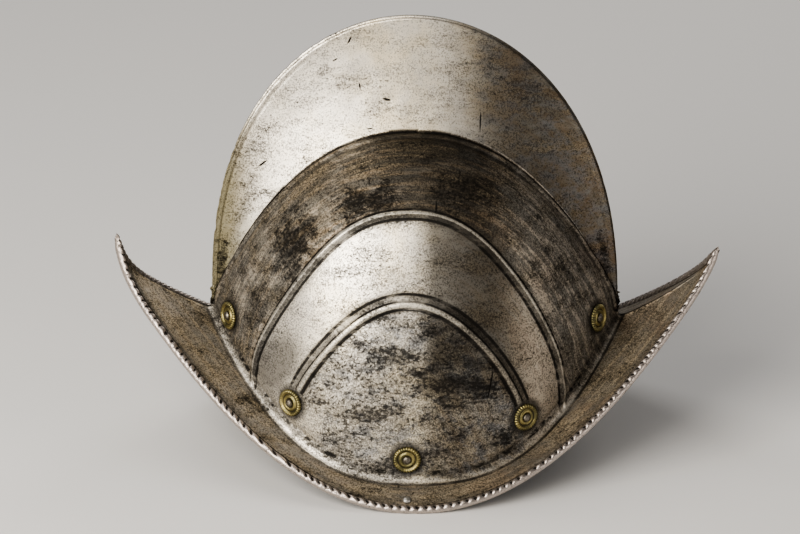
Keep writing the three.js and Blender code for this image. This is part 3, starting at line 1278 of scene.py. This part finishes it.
    def spot(self, mark: Mark) -> Value:
        """1 at the middle of a mark in side view, falling to 0 at its outline.

        Args:
            mark: The mark.

        Returns:
            Its strength.
        """
        shift = self.nodes.new("ShaderNodeVectorMath")
        shift.operation = "SUBTRACT"
        self.join(self.place, shift.inputs[0])
        shift.inputs[1].default_value = (mark.x * MM, 0, mark.z * MM)
        mapping = self.nodes.new("ShaderNodeMapping")
        mapping.vector_type = "TEXTURE"
        mapping.inputs["Rotation"].default_value = (0, -math.radians(mark.turn), 0)
        mapping.inputs["Scale"].default_value = (mark.long * MM, THROUGH, mark.wide * MM)
        self.join(shift.outputs[0], mapping.inputs["Vector"])
        node = self.nodes.new("ShaderNodeTexGradient")
        node.gradient_type = "SPHERICAL"
        self.join(mapping.outputs[0], node.inputs["Vector"])
        return Value(self, node.outputs["Fac"])


class PlateBoard(Board):
    """A plate's board, with its lines and zones and the patterns of its wear as values."""

    def __init__(self, name: str) -> None:
        """Reads the plate's layers and makes the patterns.

        Args:
            name: Name of the material.
        """
        super().__init__(name)
        self.side = self.axis("X")
        self.zone = self.layer("zone")
        self.outer = self.layer("outer_rib")
        self.inner = self.layer("inner_rib")
        self.root = self.layer("root")
        self.neck = self.layer("neck")
        self.rim = self.layer("brim_edge")
        self.rosette = self.layer("rosette")
        self.comb = self.zone.ramp(0.2, 0.6, 1.0, 0.0)
        self.skull = self.zone.ramp(0.3, 0.8) * self.zone.ramp(2.2, 2.8, 1.0, 0.0)
        self.brim = self.zone.ramp(2.4, 2.9) * self.zone.ramp(3.2, 3.7, 1.0, 0.0)
        self.rope = self.zone.ramp(3.3, 3.8)
        self.upper = self.skull * self.outer.ramp(2.0, 3.2)
        self.low = (self.skull - self.upper).clamped()
        self.boss = self.skull * self.inner.ramp(-5.0, -3.8, 1.0, 0.0)
        self.foot = self.neck.ramp(14.0, 18.0)
        self.cloud = self.noise(24.0, 4.0)
        self.wisps = self.noise(62.0, 5.0, 0.68, stretch=(0.5, 1.0, 1.5), shift=(0.3, 0.1, 0.7))
        self.grain = self.noise(1000.0, 3.0, 0.8)
        self.pits = self.noise(560.0, 4.0, 0.7, stretch=(0.8, 1.0, 1.15), shift=(0.9, 0.4, 0.2))
        self.mottle = self.noise(120.0, 5.0, 0.72, stretch=(0.7, 1.0, 1.2), shift=(0.2, 0.6, 0.4))
        brim_streaks = self.flow(self.rim, 240.0, 0.13, 0.7)
        self.streaks = self.level(self.brim, self.flow(self.root, 260.0, 0.12, 0.72), brim_streaks)


@dataclass(frozen=True)
class PlateSteel:
    """Old steel: silvery where it was worn, brown and black-pitted where it was not, with painted highlights,
    sheen, reflection and shade in its colour.
    """

    name: str
    marks: tuple[Mark, ...] = ()
    patches: tuple[DarkPatch, ...] = ()
    # Painted shadow patch near the front foot of the outer rib.
    foot_shadow: Mark = Mark(-80.0, 71.0, 62.0, 32.0, 15.0)
    silver: Colour = (0.73, 0.68, 0.59, 1)
    cream: Colour = (0.76, 0.67, 0.5, 1)
    blue: Colour = (0.3, 0.315, 0.34, 1)
    brown: Colour = (0.17, 0.122, 0.07, 1)
    tan: Colour = (0.37, 0.3, 0.2, 1)
    olive: Colour = (0.042, 0.034, 0.022, 1)
    # Near black for the pits, and for the painted shade that darkens the colour.
    pit: Colour = (0.008, 0.007, 0.006, 1)
    red: Colour = (0.2, 0.11, 0.07, 1)
    # Painted highlight: cream laid along the crests of the ribs, where the light catches them.
    ridge: Colour = (0.8, 0.74, 0.62, 1)
    # Painted sheen: warm light tone laid on the front part, where the key light falls.
    sheen_highlight: Colour = (0.96, 0.9, 0.8, 1)
    yellow: Colour = (0.21, 0.185, 0.105, 1)
    rope: Colour = (0.5, 0.44, 0.395, 1)
    bump_depth: float = 0.0004

    def patina(self, on: PlateBoard) -> Value:
        """Share of brown tarnish over the bare steel, rising toward the back partly as painted shade where
        the light falls off.

        Args:
            on: The plate's board.

        Returns:
            The share.
        """
        patina = on.upper * 0.84 + on.brim * 0.86
        # Toward the back the extra tarnish is partly real patina and partly painted shade where the light
        # falls off.
        patina += on.boss * on.side.ramp(-0.005, 0.02, 0.12, 0.6)
        patina += on.comb * on.side.ramp(0.0, 0.085, 0.0, 0.86)
        patina += on.comb * on.side.ramp(-0.112, -0.085, 0.85, 0.0)
        band = (on.skull - on.upper - on.boss).clamped()
        patina += band * on.side.ramp(-0.002, 0.035, -0.1, 0.62)
        sway = (on.wisps - 0.5) + (on.streaks - 0.5)
        return (patina + sway * 1.05).clamped()

    def crest(self, on: PlateBoard) -> Value:
        """Painted highlight: a bright line on the crest of each rib.

        Args:
            on: The plate's board.

        Returns:
            Its share.
        """
        inner = on.inner.groove(-1.7, 1.9) * on.side.ramp(0.0, 0.04, 1.0, 0.55)
        return most(on.outer.groove(0.7, 1.1), inner * on.foot) * on.skull

    def hue(self, on: PlateBoard, patina: Value, crest: Value) -> Value:
        """Colour of the steel before its dark marks.

        Args:
            on: The plate's board.
            patina: Share of brown tarnish, with painted shade toward the back.
            crest: Painted highlight on the crests of the ribs.

        Returns:
            The colour.
        """
        hue = on.mix(on.cloud.ramp(0.4, 0.66), self.silver, self.cream)
        rust = on.mix(on.streaks.ramp(0.4, 0.58), self.olive, self.brown)
        rust = on.mix((on.wisps + on.brim * 0.1).ramp(0.48, 0.64), rust, self.tan)
        haze = on.mottle.ramp(0.44, 0.6, 0.0, 0.45) * on.side.ramp(0.01, 0.05)
        # Painted reflection: silver laid on the skull toward both ends, most at the back, where the studio
        # lights show in the steel.
        brighter = most(on.side.ramp(0.04, 0.075, 0.0, 0.3), on.side.ramp(-0.09, -0.06, 0.12, 0.0))
        # Painted highlight: silver on the neck's fillet toward the front, where the light catches it.
        strip = on.neck.groove(0.8, 5.5) * on.side.ramp(-0.05, 0.02, 0.75, 0.0)
        coats = (
            (on.wisps.ramp(0.56, 0.74, 0.0, 0.5), self.blue),
            (on.boss * on.mottle.ramp(0.47, 0.58, 0.0, 0.6), self.blue),
            (patina, rust),
            (on.cloud.ramp(0.46, 0.66, 0.0, 0.38) * on.side.ramp(0.0, 0.07), self.red),
            (haze * (on.comb + on.boss).clamped(), self.blue),
            (brighter * on.skull, self.silver),
            # Painted sheen on the front, where the key light falls.
            ((1.0 - patina).clamped() * on.side.ramp(-0.08, -0.02, 0.7, 0.0), self.sheen_highlight),
            (on.comb * on.side.ramp(-0.112, -0.086, 0.85, 0.0), self.yellow),
            # Painted highlight on the rib crests.
            (crest * 0.8, self.ridge),
            (strip * on.zone.ramp(2.95, 3.3, 1.0, 0.0), self.silver),
            (on.rope, self.rope),
            (on.layer("inside"), self.olive),
        )
        for share, colour in coats:
            hue = on.mix(share, hue, colour)
        return hue

    def blot(self, on: PlateBoard) -> "Value | float":
        """Stains, and painted shadows in the valleys at the comb's two ends, all with crumbling outlines.

        Args:
            on: The plate's board.

        Returns:
            Their strength.
        """
        crumble = (on.mottle - 0.5) * 2.4
        return most(*((on.spot(patch) + crumble).ramp(0.12, 0.85, 0.0, patch.depth) for patch in self.patches))

    def grooves(self, on: PlateBoard) -> Value:
        """Dark lines beside the ribs and in the creases: painted shadow in the incised lines, on the outer
        rib's lower side and in the inner rib's hollow.

        Args:
            on: The plate's board.

        Returns:
            Their strength.
        """
        outer = most(
            on.outer.groove(2.7, 1.0),
            on.outer.groove(-2.9, 1.2),
            # Painted shadow on the lower side of the outer rib.
            on.outer.groove(-1.3, 1.4) * on.side.ramp(-0.02, 0.03, 0.8, 0.62),
        )
        inner = most(
            on.inner.groove(4.5, 1.3),
            on.inner.groove(-4.2, 1.5),
            on.inner.groove(0.5, 0.8),
            # Painted shade in the hollow beside the inner rib.
            on.inner.groove(2.5, 2.6) * on.side.ramp(0.0, 0.04, 0.55, 0.35),
        )
        lines = most(
            most(outer, inner * on.foot) * on.skull * on.rosette.ramp(8.0, 10.0),
            on.root.groove(0.3, 0.9) * on.side.ramp(-0.07, -0.02, 0.6, 0.9),
            on.root.groove(4.8, 0.9) * on.side.ramp(-0.04, 0.03, 0.15, 0.5),
            on.neck.groove(4.8, 2.2) * on.mottle.ramp(0.42, 0.52, 1.0, 0.25),
            on.neck.groove(-3.2, 1.1) * on.side.ramp(-0.03, 0.03, 0.6, 0.9),
            on.rim.groove(5.0, 1.3) * on.brim,
        )
        return lines * on.wisps.ramp(0.34, 0.5, 0.6, 1.0)

    def shade_and_grime(self, on: PlateBoard) -> Value:
        """Painted shade in the creases, beside the ribs, at the neck and inside the brim's roll, with mottled
        tarnish on the skull and comb.

        Args:
            on: The plate's board.

        Returns:
            Its strength.
        """
        gloom = on.side.ramp(-0.05, 0.0, 0.55, 1.0) * on.side.ramp(0.02, 0.06, 1.0, 0.45)
        # The first five are painted shade in the hollows; the two mottles are tarnish.
        shade_and_grime = most(
            on.root.ramp(1.0, 12.0, 0.52, 0.0) * (on.skull * gloom),
            abs(on.outer).ramp(2.5, 6.0, 0.32, 0.0) * on.skull,
            abs(on.inner).ramp(4.0, 8.0, 0.32, 0.0) * on.skull,
            abs(on.neck).ramp(2.0, 9.0, 0.52, 0.0) * gloom,
            on.rim.ramp(5.0, 11.0, 0.5, 0.0) * on.brim,
            on.mottle.ramp(0.5, 0.68, 0.0, 0.55) * most(on.boss, on.upper),
            on.mottle.ramp(0.52, 0.7, 0.0, 0.3) * on.comb,
        )
        return shade_and_grime * on.wisps.ramp(0.3, 0.62, 0.25, 1.3)

    def dull(self, on: PlateBoard) -> Value:
        """Painted shade: the light's fall-off, darker from the middle to the back, with a painted shadow low
        on the front of the skull.

        Args:
            on: The plate's board.

        Returns:
            Its strength.
        """
        fall = on.side.ramp(-0.003, 0.012) * on.side.ramp(0.042, 0.075, 1.0, 0.1)
        fall *= on.level(on.boss, 1.0, on.axis("Z").ramp(0.045, 0.085, 0.45, 1.0))
        dull = on.comb * on.side.ramp(-0.012, 0.052, 0.0, 0.74) * on.side.ramp(0.06, 0.11, 1.0, 0.62)
        dull += on.low * (fall * 0.78)
        dull += on.low * on.spot(self.foot_shadow).ramp(0.0, 0.6, 0.0, 0.72)
        early = on.side.ramp(-0.035, 0.004) * on.side.ramp(0.03, 0.06, 1.0, 0.0)
        return dull + on.upper * (early * 0.62)

    def material(self) -> bpy.types.Material:
        """The finish's material.

        Returns:
            The material, whose board reads the plate's layers.
        """
        on = PlateBoard(self.name)
        patina = self.patina(on)
        crest = self.crest(on)
        blot = self.blot(on)
        grooves = self.grooves(on)
        density = on.boss * 0.075 + on.upper * 0.03 + on.comb * -0.03 + on.brim * 0.02
        density = density + (on.wisps - 0.5) * 0.45 + blot * 0.17
        pits = (on.pits + density).ramp(0.6, 0.7)
        speckle = (on.grain + density * 0.8).ramp(0.46, 0.59)
        nicks = most(*(on.spot(mark).ramp(0.0, 0.5) for mark in self.marks))
        halo = (on.rosette + on.wisps * 7.0).ramp(12.0, 16.5, 1.0, 0.0)
        # Painted shade and dirt darken the rope's notches.
        notch = on.layer("notch").ramp(0.16, 0.42)
        # Painted shade: the shade in the creases and the light's fall-off toward the back darken the colour,
        # held back on the highlighted rib crests.
        less_shade_on_crests = 1.0 - crest * 0.6
        shade = 1.0 - (1.0 - self.shade_and_grime(on) * less_shade_on_crests).clamped() * (1.0 - self.dull(on) * less_shade_on_crests)
        soft = most(shade, blot * 0.5)
        lined = most(pits * 0.8, grooves * 0.96, halo * 0.8, notch * 0.97, nicks)
        fine = speckle * on.level(on.rope, 0.64, 0.3)
        brushed = most(on.upper * 0.55, on.brim * 0.4) * on.streaks.ramp(0.46, 0.58, 1.0, 0.0)
        light = (1.0 - fine) * (1.0 - soft) * (1.0 - lined) * (1.0 - brushed)
        dark = (1.0 - light).clamped()
        on.paint("Base Color", on.mix(dark, self.hue(on, patina, crest), self.pit))
        on.paint("Metallic", 1.0 - most(dark, patina) * 0.5)
        on.paint("Specular IOR Level", dark.ramp(0.2, 0.9, 0.45, 0.12))
        rough = patina * 0.14 + dark * 0.22 + (on.grain - 0.5) * 0.16 + (on.comb + on.boss) * 0.05
        on.paint("Roughness", (rough + 0.34).clamped())
        on.bump(on.grain * 0.3 - pits * 0.45 - grooves * 0.8 + on.streaks * 0.35 - nicks, self.bump_depth)
        return on.material


@dataclass(frozen=True)
class OldBrass:
    """Dull yellow brass, dark in its grooves and notches with painted shade and dirt."""

    name: str = "old_brass"
    bright: Colour = (0.33, 0.28, 0.125, 1)
    olive: Colour = (0.15, 0.135, 0.065, 1)
    # Near black for the painted shade and dirt in the grooves.
    shade_and_grime: Colour = (0.022, 0.017, 0.008, 1)
    bump_depth: float = 0.00012

    def material(self) -> bpy.types.Material:
        """The finish's material.

        Returns:
            The material, whose board reads the rosette's notches.
        """
        board = Board(self.name)
        cloud = board.noise(180.0, 4.0)
        grain = board.noise(1500.0, 5.0)
        hue = board.mix(cloud.ramp(0.4, 0.62), self.bright, self.olive)
        # Painted shade and dirt in the notches and grooves, and dark specks of dirt.
        shade_and_dirt = most(board.layer("notch").ramp(0.35, 0.9), grain.ramp(0.66, 0.74, 0.0, 0.7))
        board.paint("Base Color", board.mix(shade_and_dirt, hue, self.shade_and_grime))
        board.paint("Metallic", 1.0 - shade_and_dirt * 0.5)
        board.paint("Roughness", grain.ramp(0.3, 0.7, 0.3, 0.55))
        board.bump(grain, self.bump_depth)
        return board.material


@dataclass(frozen=True)
class RivetSteel:
    """Worn steel of the rivet heads."""

    name: str = "rivet_steel_worn"
    bright: Colour = (0.2, 0.18, 0.15, 1)
    dark: Colour = (0.07, 0.06, 0.045, 1)
    bump_depth: float = 0.0002

    def material(self) -> bpy.types.Material:
        """The finish's material.

        Returns:
            The material.
        """
        board = Board(self.name)
        cloud = board.noise(500.0, 4.0)
        board.paint("Base Color", board.mix(cloud.ramp(0.42, 0.66), self.bright, self.dark))
        board.paint("Metallic", 0.95)
        board.paint("Roughness", cloud.ramp(0.3, 0.7, 0.3, 0.6))
        board.bump(cloud, self.bump_depth)
        return board.material


@dataclass(frozen=True)
class Studio:
    """Pale floor, soft lights and the camera at the photograph's angle."""

    floor_size: float = 16.0
    floor_colour: Colour = (0.72, 0.71, 0.69, 1)
    world_colour: Colour = (0.9, 0.92, 1.0, 1)
    world_strength: float = 0.1
    elevation: float = 24.0
    distance: float = 8.0
    frame_width: float = 0.464
    target: Point = (-0.0087, 0.0, 0.1043)
    sensor: float = 36.0

    def floor(self) -> None:
        """The floor that the helmet rests on."""
        shape = bmesh.new()
        bmesh.ops.create_grid(shape, x_segments=1, y_segments=1, size=self.floor_size / 2)
        mesh = bpy.data.meshes.new("floor")
        shape.to_mesh(mesh)
        shape.free()
        floor = bpy.data.objects.new("floor", mesh)
        bpy.context.scene.collection.objects.link(floor)
        board = Board("floor_paint")
        board.paint("Base Color", self.floor_colour)
        board.paint("Roughness", 0.9)
        mesh.materials.append(board.material)

    def light(
        self, name: str, place: Point, aim: Point, size: tuple[float, float], power: float, tint: Point,
    ) -> None:
        """One soft rectangular light.

        Args:
            name: Its name.
            place: Where it stands, in metres.
            aim: The point it looks at.
            size: Its width and height.
            power: Its power in watts.
            tint: Its colour.
        """
        data = bpy.data.lights.new(name, "AREA")
        data.shape = "RECTANGLE"
        data.size, data.size_y = size
        data.energy = power
        data.color = tint
        lamp = bpy.data.objects.new(name, data)
        lamp.location = place
        lamp.rotation_euler = (Vector(aim) - Vector(place)).to_track_quat("-Z", "Y").to_euler()
        bpy.context.scene.collection.objects.link(lamp)

    def build(self) -> None:
        """Floor, world, lights and camera."""
        self.floor()
        world = bpy.data.worlds.new("studio")
        world.use_nodes = True
        sky = world.node_tree.nodes["Background"]
        sky.inputs["Color"].default_value = self.world_colour
        sky.inputs["Strength"].default_value = self.world_strength
        bpy.context.scene.world = world
        self.light("key", (-0.72, -0.94, 0.7), (-0.04, 0, 0.13), (1.05, 1.1), 31.0, (1.0, 0.95, 0.88))
        self.light("top", (-0.6, 0.5, 1.6), (0, 0, 0.15), (0.9, 0.9), 7.0, (1.0, 0.98, 0.95))
        self.light("back", (0.9, 1.3, 1.0), (0, 0, 0.12), (0.8, 0.8), 7.0, (1.0, 0.97, 0.93))
        self.light("fill", (1.3, -0.75, 0.45), (0.06, 0.0, 0.1), (0.7, 0.9), 4.5, (1.0, 0.93, 0.87))
        data = bpy.data.cameras.new("camera")
        data.sensor_width = self.sensor
        data.lens = self.sensor * self.distance / self.frame_width
        camera = bpy.data.objects.new("camera", data)
        angle = math.radians(self.elevation)
        back = Vector((0, -math.cos(angle), math.sin(angle)))
        camera.location = Vector(self.target) + back * self.distance
        camera.rotation_euler = (-back).to_track_quat("-Z", "Y").to_euler()
        bpy.context.scene.collection.objects.link(camera)
        bpy.context.scene.camera = camera
        bpy.context.scene.view_settings.view_transform = "AgX"
        bpy.context.scene.view_settings.look = "AgX - Medium High Contrast"


@dataclass
class Fittings:
    """Rosettes and rivets of one side."""

    side: Side
    stack: float = 1.4
    clearance: float = 0.3
    rivet_along: float = -0.04
    rivet_out: float = 0.62
    form: Form = field(default_factory=lambda: FORM)

    def build(self, brass: bpy.types.Material, steel: bpy.types.Material, brighter: bpy.types.Material) -> None:
        """Makes all of them.

        Args:
            brass: Finish of the rosettes.
            steel: Finish of the rivets through them.
            brighter: Finish of the brim's rivet, a lighter copy of the rivet steel.
        """
        for number, seat in enumerate(STATIONS.seats(self.form), start=1):
            Rosette(self.side, number).build(brass)
            point, normal = self.form.seat(seat.x, seat.height)
            top = point + normal * (self.stack + self.clearance)
            grip = self.form.wall + self.stack + self.clearance
            Rivet(self.side, f"rivet_{self.side.label}_{number}", top, normal, grip).build(steel)
        point, normal = self.brim_seat()
        top = point + normal * self.clearance
        grip = self.form.wall + self.clearance
        Rivet(self.side, f"brim_rivet_{self.side.label}", top, normal, grip).build(brighter)

    def brim_seat(self) -> tuple[Vector, Vector]:
        """Seat of the brim's rivet.

        Returns:
            The point and the brim's upward normal there.
        """
        along = self.rivet_along * self.form.skull_length
        out = lerp(self.form.base_width(along), self.form.edge_width(along), self.rivet_out)
        point = self.form.brim(along, out)
        fore = self.form.brim(along + 1, out) - point
        outward = self.form.brim(along, out + 1) - point
        return point, outward.cross(fore).normalized()


def main() -> None:
    logging.basicConfig(level=logging.INFO, format="%(name)s: %(message)s")
    Studio().build()
    near_steel = PlateSteel("plate_steel_near", MARKS, DARK_PATCHES).material()
    far_steel = PlateSteel("plate_steel_far").material()
    brass = OldBrass().material()
    rivets = RivetSteel().material()
    brighter = RivetSteel("rivet_steel_rubbed", (0.55, 0.54, 0.52, 1), (0.2, 0.19, 0.17, 1)).material()
    PlateHalf(Side.LEFT).build(near_steel)
    PlateHalf(Side.RIGHT).build(far_steel)
    for side in Side:
        Fittings(side).build(brass, rivets, brighter)


if __name__ == "__main__":
    main()
